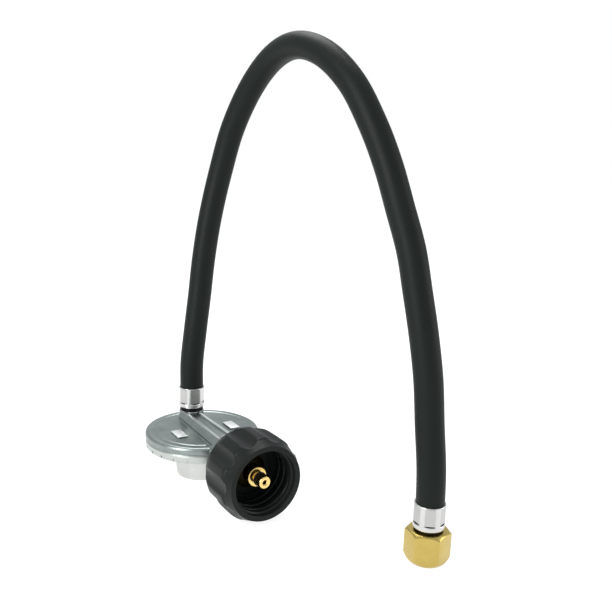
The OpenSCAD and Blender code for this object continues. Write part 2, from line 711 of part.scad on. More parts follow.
body_casting();
bonnet_casting();
closing_cap();
adjuster_disc();
vent_screen();
main_spring();
diaphragm();
diaphragm_plate();
diaphragm_stem();
stem_nut();
lever();
lever_pin();
valve_carrier();
seat_disc();
orifice_nozzle();
inlet_nipple();
nose_seal();
flow_poppet();
poppet_spring();
flow_seat();
handwheel();
thermal_bushing();
bushing_ring();
outlet_insert();
regulator_ferrule();
hose();
far_ferrule();
flare_stem();
flare_nut();
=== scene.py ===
# %% [markdown]
# # A propane regulator with its hose
# This lesson builds the looks of a gas regulator around a fixed CAD frame. The frame holds every size, place
# and joint, so nothing here is placed by eye. Each cell makes one piece or one finish and prints what it made.
# We work in metres, as the frame does, and write small sizes as a number times mm.

# %% Load the frame
import math

import bmesh
import bpy
from mathutils import Matrix, Vector


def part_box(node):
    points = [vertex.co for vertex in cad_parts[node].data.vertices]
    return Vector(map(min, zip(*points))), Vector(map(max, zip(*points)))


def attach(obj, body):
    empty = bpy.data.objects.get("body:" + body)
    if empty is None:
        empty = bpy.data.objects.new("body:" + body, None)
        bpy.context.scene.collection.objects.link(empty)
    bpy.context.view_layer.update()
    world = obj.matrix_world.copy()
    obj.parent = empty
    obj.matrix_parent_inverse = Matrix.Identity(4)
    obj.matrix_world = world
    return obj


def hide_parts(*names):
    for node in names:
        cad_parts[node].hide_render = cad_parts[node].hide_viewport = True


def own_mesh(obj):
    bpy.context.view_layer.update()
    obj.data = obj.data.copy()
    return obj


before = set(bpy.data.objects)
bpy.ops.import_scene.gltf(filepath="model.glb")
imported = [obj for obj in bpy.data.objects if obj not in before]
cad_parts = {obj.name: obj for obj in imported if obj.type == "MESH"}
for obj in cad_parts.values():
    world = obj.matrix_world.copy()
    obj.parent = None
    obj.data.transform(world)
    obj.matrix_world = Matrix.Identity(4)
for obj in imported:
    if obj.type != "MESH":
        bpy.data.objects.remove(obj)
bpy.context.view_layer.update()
bpy.ops.object.select_all(action="DESELECT")
mm = 0.001
X, Y, Z = Vector((1, 0, 0)), Vector((0, 1, 0)), Vector((0, 0, 1))

# %% [markdown]
# ## Measures
# A maker reads the drawing before cutting metal. The boxes of the CAD nodes are our drawing: they say how wide
# the round body is, where the handwheel starts and ends, and where the hose leaves. We keep them as named
# values in millimetres, and most later cells follow them. The stations along the nipple, the ferrules' radius
# and the strokes of the springs are plain numbers, and have to be changed by hand if the frame changes.

# %% Read the frame's sizes
def box_mm(node):
    low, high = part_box(node)
    return low / mm, high / mm


disc_r = box_mm("body_casting")[1].x
rim_low = box_mm("vent_screen")[0].z
clamp_z = box_mm("bonnet_casting")[1].z
flange_r = box_mm("bonnet_casting")[1].x
cap_r, cap_h = box_mm("closing_cap")[1].x, box_mm("closing_cap")[1].z
near_ferrule = box_mm("regulator_ferrule")
far_ferrule = box_mm("far_ferrule")
outlet = (near_ferrule[0] + near_ferrule[1]) / 2
boss_top = near_ferrule[0].z - 2.2
channel_top = boss_top - 0.1
disc_top = channel_top - 5
disc_under = disc_top - 2
wheel_low, wheel_high = box_mm("handwheel")
wheel_r = (wheel_high.z - wheel_low.z) / 2
wheel_length = wheel_high.y - wheel_low.y
inlet = Vector((0, wheel_high.y, wheel_r))
nut_low, nut_high = box_mm("flare_nut")
nut_middle = (nut_low + nut_high) / 2
nut_flats = nut_high.x - nut_low.x
nut_height = nut_high.z
print("body radius", round(disc_r, 2), "handwheel radius", round(wheel_r, 2), "nut flats", round(nut_flats, 2))
print("disc top", round(disc_top, 2), "boss top", round(boss_top, 2),
      "hose leaves at", round(outlet.x, 2), round(outlet.y, 2))

# %% [markdown]
# ## Camera
# The camera looks down a little and to the left, from the side of the tank inlet. It turns about the vertical
# first, then tips down, then rolls slightly, as a hand-held camera does. A 44 mm lens keeps the far hose from
# looking small.

# %% Place the camera
camera_data = bpy.data.cameras.new("camera")
camera_data.sensor_width = 36
camera_data.lens = 44.12
camera = bpy.data.objects.new("camera", camera_data)
bpy.context.scene.collection.objects.link(camera)
bpy.context.scene.camera = camera
turn, down, roll = math.radians(-32.73), math.radians(11.34), math.radians(2.19)
look = Matrix.Rotation(turn, 4, "Z") @ Matrix.Rotation(math.pi / 2 - down, 4, "X") @ Matrix.Rotation(roll, 4, "Z")
camera.matrix_world = Matrix.Translation((-0.17528, -0.37918, 0.18396)) @ look
print("camera at", [round(c, 3) for c in camera.location])

# %% [markdown]
# ## Shader maths in plain Python
# A material is a graph of nodes, and wiring a graph by hand hides the idea behind it. So we wrap a socket in a
# small class: adding or multiplying two of them adds the Math node. `Finish` is one material. Its `node` method
# makes any other node from its type, its settings and what goes into its sockets.

# %% A socket that does sums
class Value:
    def __init__(self, finish, socket):
        self.finish = finish
        self.socket = socket

    def math(self, operation, *others):
        inputs = dict(enumerate((self,) + others))
        return self.finish.node("Math", {"operation": operation}, inputs)

    def __add__(self, other):
        return self.math("ADD", other)

    def __mul__(self, other):
        return self.math("MULTIPLY", other)

    def __sub__(self, other):
        return self.math("SUBTRACT", other)

    def __rsub__(self, other):
        return self * -1 + other

    __radd__ = __add__
    __rmul__ = __mul__


# %% [markdown]
# `Finish` starts with Blender's Principled shader. `spot` reads the place of a point on its own piece, which
# never slides when a joint moves. `between` runs from one colour to another, and `raise_by` turns a height into
# a bump whose depth is given in metres.

# %% A material with its own nodes
class Finish:
    def __init__(self, name, **constants):
        self.material = bpy.data.materials.new(name)
        self.material.use_nodes = True
        self.tree = self.material.node_tree
        self.shader = self.tree.nodes["Principled BSDF"]
        for socket, value in constants.items():
            self.plug(self.shader.inputs[socket.replace("_", " ")], value)

    def plug(self, socket, value):
        if isinstance(value, Value):
            self.tree.links.new(value.socket, socket)
        elif isinstance(value, tuple) and socket.type == "RGBA":
            socket.default_value = value + (1,)
        else:
            socket.default_value = value

    def node(self, kind, settings, inputs, output=0):
        made = self.tree.nodes.new("ShaderNode" + kind)
        for name, value in settings.items():
            if name == "stops":
                for stop, (place, shade) in zip(made.color_ramp.elements, value):
                    stop.position, stop.color = place, (shade, shade, shade, 1)
            else:
                setattr(made, name, value)
        for name, value in inputs.items():
            self.plug(made.inputs[name], value)
        return Value(self, made.outputs[output])

    def spot(self, stretch=(1, 1, 1), centre=(0, 0, 0)):
        place = self.node("TexCoord", {}, {}, "Object")
        moved = tuple(-c * s for c, s in zip(centre, stretch))
        return self.node("Mapping", {}, {"Vector": place, "Location": moved, "Scale": stretch})

    def noise(self, place, scale, detail=3, rough=0.5):
        return self.node("TexNoise", {}, {"Vector": place, "Scale": scale, "Detail": detail, "Roughness": rough})

    def ramp(self, value, *stops):
        return self.node("ValToRGB", {"stops": stops}, {"Fac": value})

    def between(self, share, first, second):
        return self.node("Mix", {"data_type": "RGBA"}, {0: share, 6: first, 7: second}, 2)

    def raise_by(self, height, depth, strength=1.0):
        return self.node("Bump", {}, {"Height": height, "Distance": depth, "Strength": strength})

    def wear(self, **varying):
        for socket, value in varying.items():
            self.plug(self.shader.inputs[socket.replace("_", " ")], value)
        return self.material


print("shader helpers ready")

# %% [markdown]
# ## Finish of the hose
# LP gas hose is wrapped in cloth while it cures, and the cloth leaves a fine criss-cross print in the black
# rubber. The hose carries its own UV map, once round and once along, so the print follows every bend. Two
# slanted waves crossed make the weave, and slow noise makes the rubber a little greyer where it was handled.

# %% Rubber with a cloth print
THREADS_ROUND = 34
RADIANS_PER_METRE = 4600


def hose_rubber():
    rubber = Finish("hose_rubber", Specular_IOR_Level=0.10)
    flat = rubber.node("UVMap", {"uv_map": "wrap"}, {})
    parts = rubber.node("SeparateXYZ", {}, {"Vector": flat})
    around, along = parts, Value(rubber, parts.socket.node.outputs[1])
    left = (around * (2 * math.pi * THREADS_ROUND) + along * RADIANS_PER_METRE).math("SINE")
    right = (around * (2 * math.pi * -THREADS_ROUND) + along * RADIANS_PER_METRE).math("SINE")
    weave = (left * right) * 0.5 + 0.5
    slow = rubber.noise(rubber.spot(), 60, 4, 0.6)
    fine = rubber.noise(rubber.spot(), 1800, 2, 0.6)
    shade = rubber.between(slow, (0.0036, 0.0054, 0.0046), (0.007, 0.010, 0.0086))
    shade = rubber.between(weave * 0.3, shade, (0.024, 0.030, 0.027))
    height = weave * 0.8 + fine * 0.5
    return rubber.wear(
        Base_Color=shade,
        Roughness=slow * 0.16 + weave * 0.08 + 0.33,
        Normal=rubber.raise_by(height, 0.07 * mm, 0.7),
    )


print("hose rubber ready")

# %% [markdown]
# ## The hose
# The hose is the longest piece, half a metre of 13.6 mm gas hose, and it stands up in an arch because such hose
# is stiff. We repeat the route that the frame uses and run a smooth curve through its points. Rings of vertices
# along that curve make the tube, and the Solidify modifier gives it a real wall round the gas passage. A curve
# object with a bevel would be quicker, but it has no UV map that follows the weave.

# %% The route, in metres
ROUTE = [
    (.002, .020, .034), (.002, .020, .045), (.002, .020, .061), (.004, .020, .080), (.007, .021, .101),
    (.010, .022, .124), (.014, .022, .148), (.019, .020, .173), (.023, .013, .198), (.027, -.001, .220),
    (.029, -.021, .234), (.030, -.043, .238), (.032, -.065, .232), (.035, -.084, .218), (.038, -.098, .199),
    (.041, -.107, .181), (.043, -.115, .162), (.045, -.122, .144), (.046, -.127, .126), (.047, -.132, .107),
    (.048, -.136, .087), (.049, -.138, .066), (.050, -.140, .046), (.051, -.140, .029), (.051, -.140, .0175),
]
HOSE_D = 13.6 * mm
HOSE_BORE = 6.4 * mm


def smooth_route(points, steps=8):
    """Points on a Catmull-Rom curve, which passes through every one of the given points."""
    p = [Vector(q) for q in points]
    p = [2 * p[0] - p[1]] + p + [2 * p[-1] - p[-2]]
    line = []
    for a, b, c, d in zip(p, p[1:], p[2:], p[3:]):
        for k in range(steps):
            t = k / steps
            line.append(0.5 * (2 * b + (c - a) * t + (2 * a - 5 * b + 4 * c - d) * t**2
                               + (3 * b - a - 3 * c + d) * t**3))
    return line + [p[-2]]


hose_line = smooth_route(ROUTE)
hose_length = sum((b - a).length for a, b in zip(hose_line, hose_line[1:]))
print("hose", len(hose_line), "rings,", round(hose_length, 4), "m long")

# %% [markdown]
# Each ring stands square to the curve. Its side direction is carried from ring to ring, so the tube doesn't
# twist. The UV map holds the share of a turn and the distance from the regulator.

# %% Sweep the tube
def swept_tube(name, line, radius, sides=48):
    mesh = bpy.data.meshes.new(name)
    work = bmesh.new()
    wrap = work.loops.layers.uv.new("wrap")
    rings, travelled, side = [], [0.0], X.copy()
    for i, point in enumerate(line):
        ahead = (line[min(i + 1, len(line) - 1)] - line[max(i - 1, 0)]).normalized()
        side = (side - side.dot(ahead) * ahead).normalized()
        up = ahead.cross(side)
        turns = [2 * math.pi * k / sides for k in range(sides)]
        rings.append([work.verts.new(point + radius * (math.cos(a) * side + math.sin(a) * up)) for a in turns])
        if i:
            travelled.append(travelled[-1] + (point - line[i - 1]).length)
    for i in range(len(line) - 1):
        for k in range(sides):
            j = (k + 1) % sides
            face = work.faces.new((rings[i][k], rings[i][j], rings[i + 1][j], rings[i + 1][k]))
            face.smooth = True
            corners = ((k, i), (k + 1, i), (k + 1, i + 1), (k, i + 1))
            for loop, (a, b) in zip(face.loops, corners):
                loop[wrap].uv = (a / sides, travelled[b])
    work.to_mesh(mesh)
    work.free()
    piece = bpy.data.objects.new(name, mesh)
    bpy.context.scene.collection.objects.link(piece)
    return piece


def apply(piece, kind, **settings):
    """Adds one modifier with these settings and applies it."""
    modifier = piece.modifiers.new(kind.lower(), kind)
    for name, value in settings.items():
        setattr(modifier, name, value)
    bpy.context.view_layer.objects.active = piece
    bpy.ops.object.modifier_apply(modifier=modifier.name)


hose = swept_tube("gas_hose", hose_line, HOSE_D / 2)
apply(hose, "SOLIDIFY", thickness=(HOSE_D - HOSE_BORE) / 2, offset=-1)
hose.data.materials.append(hose_rubber())
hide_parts("hose")
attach(hose, "regulator")
print("hose mesh:", len(hose.data.polygons), "faces")

# %% [markdown]
# ## Finishes of the metals
# Turned brass shows fine rings left by the tool, all centred on the axis it was turned about. We get them by
# reading noise only through the distance from the axis and the height along it, so the noise can't change on
# the way round. Die-cast zinc is duller: it has a soft grain and slow grey-green clouds where the metal flowed.

# %% Turned and plated metal
def turned_metal(name, dark, light, rough, axis="Z", centre=(0, 0, 0), ring=0.03 * mm, shaded_from=None,
                 jaw_shade=None):
    """Turned metal. Given a height along its axis, the metal past it is darkened and made rougher: painted shade for
    a part that sits in shadow.
    Given a radius and two heights for the jaws, the flats inside that radius are darkened a little as painted shade,
    and between the two heights a dark band is the painted shadow under the jaws' step."""
    metal = Finish(name, Metallic=1.0)
    place = metal.spot(centre=centre)
    parts = metal.node("SeparateXYZ", {}, {"Vector": place}).socket.node
    x, y, z = (Value(metal, parts.outputs[i]) for i in range(3))
    side, height = (y, z) if axis == "Z" else (z, y)
    radius = (x * x + side * side).math("SQRT")
    flat = metal.node("CombineXYZ", {}, {"X": radius, "Y": height})
    rings = metal.noise(flat, 2600, 2, 0.6)
    cloud = metal.noise(place, 140, 3, 0.55)
    shade = metal.between(cloud, dark, light)
    worn = cloud * 0.12 + rings * 0.10 + rough
    if shaded_from is not None:
        # painted shade: past this height the colour is darkened, standing in for the shadow that the part sits in
        shaded_past = height.math("GREATER_THAN", shaded_from)
        shade = metal.between(shaded_past, shade, (0.028, 0.022, 0.012))
        worn = worn + shaded_past * 0.3
    # painted shade: the flats inside the radius are darkened a little, and a dark band at their foot is a painted
    # shadow under the jaws' step
    if jaw_shade:
        inside, low, high = (v * mm for v in jaw_shade)
        pressed = radius.math("LESS_THAN", inside)
        shade = metal.between(pressed * 0.25, shade, (0.10, 0.10, 0.10))
        step_shadow = pressed * height.math("GREATER_THAN", low) * height.math("LESS_THAN", high)
        shade = metal.between(step_shadow, shade, (0.02, 0.02, 0.02))
    return metal.wear(
        Base_Color=shade,
        Roughness=worn,
        Normal=metal.raise_by(rings, ring, 0.5),
    )


def cast_zinc(name, dark, light, rough, highlights_and_skirt=False):
    """Cast zinc. When asked, the tops of the pads and of the ridges are painted near-white as painted highlights, and
    the skirt below the groove is paler.
    """
    zinc = Finish(name, Metallic=1.0)
    place = zinc.spot()
    cloud = zinc.noise(place, 55, 5, 0.62)
    grain = zinc.noise(place, 1500, 3, 0.6)
    flow = zinc.noise(zinc.spot(stretch=(1, 0.35, 1)), 230, 3, 0.5)
    shade = zinc.between(zinc.ramp(cloud, (0.34, 0), (0.66, 1)), dark, light)
    if highlights_and_skirt:
        parts = zinc.node("SeparateXYZ", {}, {"Vector": place}).socket.node
        height = Value(zinc, parts.outputs[2])
        across = Value(zinc, parts.outputs[0]).math("ABSOLUTE")
        # painted highlights: the pad tops and the ridge tops get a near-white colour for the light they catch; the
        # skirt below the groove is only paler
        pad_highlight = height.math("GREATER_THAN", (disc_top + 0.6) * mm) * across.math("GREATER_THAN", 12.5 * mm)
        ridge_highlight = height.math("GREATER_THAN", (channel_top - 0.2) * mm) * across.math("LESS_THAN", 5 * mm)
        skirt = height.math("LESS_THAN", (disc_top - 4.6) * mm)
        shade = zinc.between(skirt * 0.6, shade, (0.62, 0.65, 0.62))
        shade = zinc.between(ridge_highlight * 0.55, shade, (0.80, 0.83, 0.82))
        shade = zinc.between(pad_highlight, shade, (0.90, 0.92, 0.91))
    return zinc.wear(
        Base_Color=shade,
        Roughness=cloud * 0.16 + grain * 0.10 + rough,
        Normal=zinc.raise_by(flow * 0.7 + grain * 0.3, 0.09 * mm, 0.55),
    )


# the disc takes the painted highlights on its pads and ridges, and the paler skirt
disc_zinc = cast_zinc("zinc_casting", (0.21, 0.245, 0.235), (0.31, 0.345, 0.335), 0.22, highlights_and_skirt=True)
tower_zinc = cast_zinc("bonnet_zinc", (0.56, 0.57, 0.55), (0.70, 0.71, 0.69), 0.34)
print("zinc finishes:", disc_zinc.name, tower_zinc.name)

# %% [markdown]
# The brass of the nut and the nipple is bright and yellow, the inner brass a little browner. Ferrules and small
# hardware are plated steel, springs are drawn wire, and the diaphragm's plate is pressed aluminium. Each is the
# same recipe with its own tints, roughness and axis.

# %% Brass, steel and aluminium
nut_brass = turned_metal("bright_brass_nut", (0.46, 0.345, 0.09), (0.58, 0.445, 0.135), 0.16,
                         centre=(nut_middle.x * mm, nut_middle.y * mm, 0))
# painted shade: the nipple is darkened where it sits in shadow inside the wheel
nipple_brass = turned_metal("bright_brass_nipple", (0.78, 0.55, 0.19), (0.92, 0.70, 0.29), 0.12, "Y",
                            centre=(0, 0, inlet.z * mm), shaded_from=(inlet.y - 16.5) * mm)
# painted shade: a near-black steel for the collar under the near ferrule and the ring inside the wheel, which both
# sit in shadow
shade_steel = turned_metal("painted_shade_steel", (0.010, 0.011, 0.011), (0.022, 0.024, 0.024), 0.38)
# painted shade: the stem is darkened above the nut, where it sits in shadow under the ferrule
stem_brass = turned_metal("flare_brass", (0.55, 0.36, 0.12), (0.74, 0.53, 0.22), 0.2,
                          centre=(nut_middle.x * mm, nut_middle.y * mm, 0), shaded_from=(nut_height - 0.2) * mm)
inner_brass = turned_metal("brass", (0.55, 0.36, 0.12), (0.74, 0.53, 0.22), 0.24)
plated_steel = turned_metal("plated_steel", (0.48, 0.49, 0.50), (0.66, 0.67, 0.68), 0.22)
spring_steel = turned_metal("spring_steel", (0.26, 0.26, 0.27), (0.42, 0.42, 0.43), 0.30)
plate_aluminium = turned_metal("aluminium_plate", (0.60, 0.61, 0.62), (0.74, 0.75, 0.76), 0.30)
print("turned finishes ready")

# %% [markdown]
# ## Finishes of plastic and rubber
# The handwheel is moulded in a tool with a lightly sparked surface, so it has a fine grain and a soft sheen.
# Hands polish the lobes, which slow noise in the roughness suggests. Seals are plain matte nitrile rubber.

# %% Moulded plastic and seals
def moulded(name, dark, light, rough, grain_depth, shine=0.15):
    plastic = Finish(name, Specular_IOR_Level=shine)
    place = plastic.spot()
    cloud = plastic.noise(place, 70, 4, 0.6)
    grain = plastic.noise(place, 2200, 2, 0.6)
    return plastic.wear(
        Base_Color=plastic.between(cloud, dark, light),
        Roughness=cloud * 0.14 + grain * 0.12 + rough,
        Normal=plastic.raise_by(grain, grain_depth, 0.6),
    )


black_plastic = moulded("black_plastic", (0.005, 0.0072, 0.0064), (0.009, 0.0122, 0.0108), 0.24, 0.04 * mm)
bushing_plastic = moulded("bushing_plastic", (0.008, 0.008, 0.007), (0.018, 0.018, 0.016), 0.55, 0.04 * mm, 0.15)
nitrile = moulded("nitrile_rubber", (0.010, 0.010, 0.010), (0.022, 0.022, 0.022), 0.50, 0.03 * mm)
print("moulded finishes:", black_plastic.name, bushing_plastic.name, nitrile.name)

# %% [markdown]
# ## A lathe
# Most of these parts come off a lathe, so we build one. `rounded` takes the corners of half a section, as radius
# and height in millimetres, and rounds each corner that has a third number. `turned` starts from a plane merged
# to a single vertex, extrudes it from point to point like a pencil line, and spins the line once round.

# %% Round the corners of an outline
ARC_STEP = math.radians(18)


def rounded(*corners):
    points = []
    for i, (r, h, *radius) in enumerate(corners):
        here = Vector((r, h))
        if not radius:
            points.append(here)
            continue
        back = Vector(corners[i - 1][:2]) - here
        ahead = Vector(corners[(i + 1) % len(corners)][:2]) - here
        half = back.angle(ahead) / 2
        reach = min(radius[0] / math.tan(half), 0.48 * back.length, 0.48 * ahead.length)
        inward = (back.normalized() + ahead.normalized()).normalized()
        middle = here + inward * reach / math.cos(half)
        first = here + back.normalized() * reach - middle
        last = here + ahead.normalized() * reach - middle
        start = math.atan2(first.y, first.x)
        sweep = (math.atan2(last.y, last.x) - start + math.pi) % (2 * math.pi) - math.pi
        count = max(2, math.ceil(abs(sweep) / ARC_STEP))
        for k in range(count + 1):
            a = start + sweep * k / count
            points.append(middle + first.length * Vector((math.cos(a), math.sin(a))))
    return points


print(len(rounded((0, 0), (10, 0, 2), (10, 5), (0, 5))), "points round one corner of a test outline")

# %% [markdown]
# The lathe is a pencil and a spin. `close_mesh` merges what met, and `dress` gives the finished piece its material
# and its body, and hides the CAD nodes that it takes the place of.

# %% Draw, spin and finish
def drawn(name, points):
    bpy.ops.mesh.primitive_plane_add(size=mm)
    piece = bpy.context.object
    piece.name = piece.data.name = name
    bpy.ops.object.mode_set(mode="EDIT")
    bpy.ops.mesh.merge(type="CENTER")
    bpy.ops.transform.translate(value=points[0])
    for a, b in zip(points, points[1:]):
        bpy.ops.mesh.extrude_region_move(TRANSFORM_OT_translate={"value": b - a})
    bpy.ops.mesh.select_all(action="SELECT")
    return piece


def close_mesh(reach=0.002):
    """Merges doubled vertices, turns the faces outwards and leaves edit mode."""
    bpy.ops.mesh.select_all(action="SELECT")
    bpy.ops.mesh.remove_doubles(threshold=reach * mm)
    bpy.ops.mesh.normals_make_consistent(inside=False)
    bpy.ops.object.mode_set(mode="OBJECT")


def turned(name, outline, centre=(0, 0, 0), along=Z, steps=128):
    centre = Vector(centre) * mm
    points = [centre + (r * X + h * along) * mm for r, h in outline]
    if outline[0][0] > 0:
        points.append(points[0])
    piece = drawn(name, points)
    bpy.ops.mesh.spin(steps=steps, angle=2 * math.pi, center=centre, axis=along, use_auto_merge=True)
    close_mesh()
    return piece


def dress(piece, finish, body, slot, *nodes):
    """Gives a finished piece its material and its body, and hides the CAD nodes that it stands for."""
    bpy.ops.object.select_all(action="DESELECT")
    piece.select_set(True)
    bpy.context.view_layer.objects.active = piece
    bpy.ops.object.shade_smooth_by_angle(angle=math.radians(32))
    if not piece.data.materials:
        piece.data.materials.append(finish)
    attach(piece, body)
    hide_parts(*nodes)
    bpy.ops.object.select_all(action="DESELECT")
    print(piece.name, len(piece.data.polygons), "faces")


# %% [markdown]
# ## Tools that cut and join
# A drilled hole or a welded-on boss is a Boolean: one closed shape is taken from another or added to it. `rod`
# and `block` make the shapes that do the cutting, placed by their ends, and `combine` applies the modifier and
# throws the tool away.

# %% Rods, blocks and Booleans
def rod(start, end, radius, sides=64):
    start, end = Vector(start) * mm, Vector(end) * mm
    turn_to = (end - start).to_track_quat("Z", "Y").to_euler()
    bpy.ops.mesh.primitive_cylinder_add(vertices=sides, radius=radius * mm, depth=(end - start).length,
                                        location=(start + end) / 2, rotation=turn_to)
    return bpy.context.object


def block(low, high, soften=0.0):
    low, high = Vector(low) * mm, Vector(high) * mm
    bpy.ops.mesh.primitive_cube_add(size=1, location=(low + high) / 2, scale=high - low)
    bpy.ops.object.transform_apply(location=True, rotation=True, scale=True)
    if soften:
        apply(bpy.context.object, "BEVEL", width=soften * mm, segments=3)
    return bpy.context.object


def combine(piece, tool, operation="DIFFERENCE"):
    apply(piece, "BOOLEAN", operation=operation, object=tool, solver="EXACT")
    bpy.data.objects.remove(tool)


print("tools ready")

# %% [markdown]
# ## The round body
# The body is one zinc casting. A gas channel runs across its flat lid from the inlet to the outlet boss, with
# two ridges along it, and every foot of the raised work has a small fillet, because sharp inside corners crack
# in die casting. We turn the lid, extrude the channel from its outline, turn the two bosses, and add them up.

# %% Turn the lid and extrude the channel
groove_z = disc_top - 4.6
body = turned("body_casting_visual", rounded(
    (0, rim_low), (disc_r - 0.8, rim_low), (disc_r - 0.2, rim_low + 0.6, 0.4), (disc_r - 0.2, groove_z - 0.5, 0.3),
    (disc_r - 0.8, groove_z, 0.2), (disc_r - 0.8, groove_z + 0.4, 0.2), (disc_r, groove_z + 0.9, 0.4),
    (disc_r, disc_top, 2.4), (disc_r - 4, disc_top, 1), (disc_r - 4.6, disc_top - 0.3, 0.5),
    (disc_r - 5.4, disc_top - 0.3, 0.5), (disc_r - 6, disc_top, 1), (0, disc_top)), steps=160)
FOOT = 0.02
channel_half = 6.25
boss_face = inlet.y


def extruded(name, outline, start_y, end_y, spread=1.0):
    """Fills a closed outline of x and z at start_y and extrudes it to end_y, where it is spread in width."""
    points = [Vector((x, start_y, z)) * mm for x, z in outline]
    piece = drawn(name, points + points[:1])
    bpy.ops.mesh.remove_doubles(threshold=0.002 * mm)
    bpy.ops.mesh.edge_face_add()
    bpy.ops.mesh.extrude_region_move(TRANSFORM_OT_translate={"value": Y * (end_y - start_y) * mm})
    bpy.ops.transform.resize(value=(spread, 1, 1), center_override=(0, end_y * mm, 0))
    close_mesh()
    return piece


half_section = [(channel_half + 1.4, -1), (channel_half + 1.4, -FOOT), (channel_half, -FOOT, 1.0),
                (channel_half, 1.5, 0.8), (4.25, 5, 0.5), (2.65, 5, 0.5), (1.65, 4.2, 0.6)]
section = [(x, disc_top + z, *r) for x, z, *r in half_section]
section += [(-x, z, *r) for x, z, *r in reversed(section)]
channel = extruded("channel", rounded(*section), outlet.y, boss_face + 2, 1.3)
print("channel", len(channel.data.polygons), "faces")

# %% [markdown]
# The bosses are turned about their own axes and meet the lid in a fillet of their own. Two plain pads stand
# beside the channel. Then all of it is joined.

# %% Bosses and pads
outlet_boss = turned("outlet_boss", rounded(
    (0, disc_under + 0.5), (8.6, disc_under + 0.5), (8.6, disc_top - FOOT), (7.25, disc_top - FOOT, 1.1),
    (7.25, boss_top, 0.5), (0, boss_top)), centre=(outlet.x, outlet.y, 0), steps=96)
inlet_boss = turned("inlet_boss", rounded(
    (0, -1.5), (10.5, -1.5), (10.5, -disc_r - inlet.y, 0.9), (0, -disc_r - inlet.y)),
    centre=(0, -disc_r, inlet.z), along=-Y, steps=96)
for part in (channel, outlet_boss, inlet_boss):
    combine(body, part, "UNION")
pad_x, pad_y = (channel_half + 7, channel_half + 13), (-10, 1)
for side in (-1, 1):
    x = sorted(side * v for v in pad_x)
    pad = block((x[0], pad_y[0], disc_top - 0.5), (x[1], pad_y[1], disc_top + 0.9), 0.3)
    combine(body, pad, "UNION")
print("joined body", len(body.data.polygons), "faces")

# %% [markdown]
# Under the lid the casting is hollow. The chamber holds the diaphragm's travel and the slot in the channel
# holds the lever, with two hangers for the nozzle and the valve. They are cut where the frame's pieces lie, so
# that the inner works have their real room.

# %% Hollow the body
ledge_z = clamp_z + 0.8
roof_z = channel_top - 1.5
valve_z = roof_z - 3.6
room = turned("room", [Vector(p) for p in (
    (0, rim_low - 8), (flange_r - 1.2, rim_low - 8), (flange_r - 1.2, rim_low + 0.8),
    (flange_r + 0.02, rim_low + 0.8), (flange_r + 0.02, ledge_z), (disc_r - 6, ledge_z),
    (disc_r - 6, disc_under), (0, disc_under))], steps=160)
combine(body, room)
combine(body, block((-4.5, -27.5, disc_under - 0.1), (4.5, 8, roof_z)))
for back, front in ((-29.5, -22.3), (-19.5, -15)):
    combine(body, rod((0, back, valve_z), (0, front, valve_z), 3.7), "UNION")
    combine(body, block((-4.6, back, valve_z), (4.6, front, roof_z + 0.1)), "UNION")
drillings = [
    ((0, -21, valve_z), (0, -13, valve_z), 2.46), ((0, -29, valve_z), (0, -21.5, valve_z), 2.42),
    ((0, inlet.y + 6, inlet.z), (0, -29, valve_z), 1.4), ((0, inlet.y - 1, inlet.z), (0, inlet.y + 5, inlet.z), 5.62),
    ((0, 7, channel_top - 4), (0, outlet.y, channel_top - 4), 2.2),
    ((outlet.x, outlet.y, channel_top - 4), (outlet.x, outlet.y, boss_top + 1), 2.2),
    ((outlet.x, outlet.y, boss_top - 4), (outlet.x, outlet.y, boss_top + 1), 4.62),
    ((-5.5, -12, roof_z - 1.8), (5.5, -12, roof_z - 1.8), 0.82),
]
for start, end, radius in drillings:
    combine(body, rod(start, end, radius, 48))
NOTCHES = 24
for i in range(NOTCHES):
    turn_by = Matrix.Rotation(math.radians(7.5) + 2 * math.pi * i / NOTCHES, 4, "Z")
    notch = block((disc_r - 0.75, -0.8, rim_low - 0.5), (disc_r + 1, 0.8, rim_low + 2))
    notch.data.transform(turn_by)
    combine(body, notch)
bpy.context.view_layer.objects.active = body
bpy.ops.object.mode_set(mode="EDIT")
close_mesh(0.012)
dress(body, disc_zinc, "regulator", "zinc_casting", "body_casting")

# %% [markdown]
# ## The spring tower
# The lower casting is a tapered tower with a wide flange that the rim of the body is rolled over. The taper is
# the draft that lets it leave its mould. Its closing cap carries two blind holes for a pin spanner.

# %% Turn the tower and its cap
tower_foot, tower_top, chamber = 14.5, 16.0, box_mm("adjuster_disc")[1].x + 0.02
flange_z = rim_low + 0.8
tower = turned("bonnet_casting_visual", rounded(
    (cap_r + 0.02, 0), (tower_foot, 0, 0.9), (tower_top, rim_low - 0.1, 1.8), (flange_r - 1.25, rim_low - 0.1, 0.2),
    (flange_r - 1.25, flange_z), (flange_r, flange_z, 0.2), (flange_r, clamp_z, 0.2), (disc_r - 6, clamp_z),
    (disc_r - 7.2, flange_z + 0.4), (chamber, flange_z + 0.4), (chamber, cap_h + 1), (cap_r + 0.02, cap_h)),
    steps=160)
vent_x = disc_r - 11
combine(tower, rod((vent_x, 0, rim_low - 2), (vent_x, 0, rim_low + 4), 1.8))
combine(tower, rod((vent_x, 0, rim_low - 2), (vent_x, 0, rim_low + 0.6), 2.62))
dress(tower, tower_zinc, "regulator", "bonnet_zinc", "bonnet_casting")

cap = turned("closing_cap_visual", rounded(
    (0, 0), (cap_r, 0, 0.4), (cap_r, cap_h - 0.4, 0.1), (cap_r - 1, cap_h - 0.4), (cap_r - 1, cap_h, 0.2),
    (0, cap_h)))
for side in (-6, 6):
    combine(cap, rod((side, 0, -1), (side, 0, 1.6), 1.2, 32))
dress(cap, plated_steel, "regulator", "plated_steel", "closing_cap")

# %% [markdown]
# ## The handwheel
# The wheel is what a hand turns to fasten the regulator to a tank: ten broad lobes with a soft flute between
# each pair, a plain collar in front, and a coarse thread inside. We turn the wheel with many rows, then move
# its vertices: a flute is what a ball-ended cutter would leave, and the thread is a ridge that climbs as it
# goes round. Moving vertices keeps the flute ends soft, which a Boolean would leave sharp.

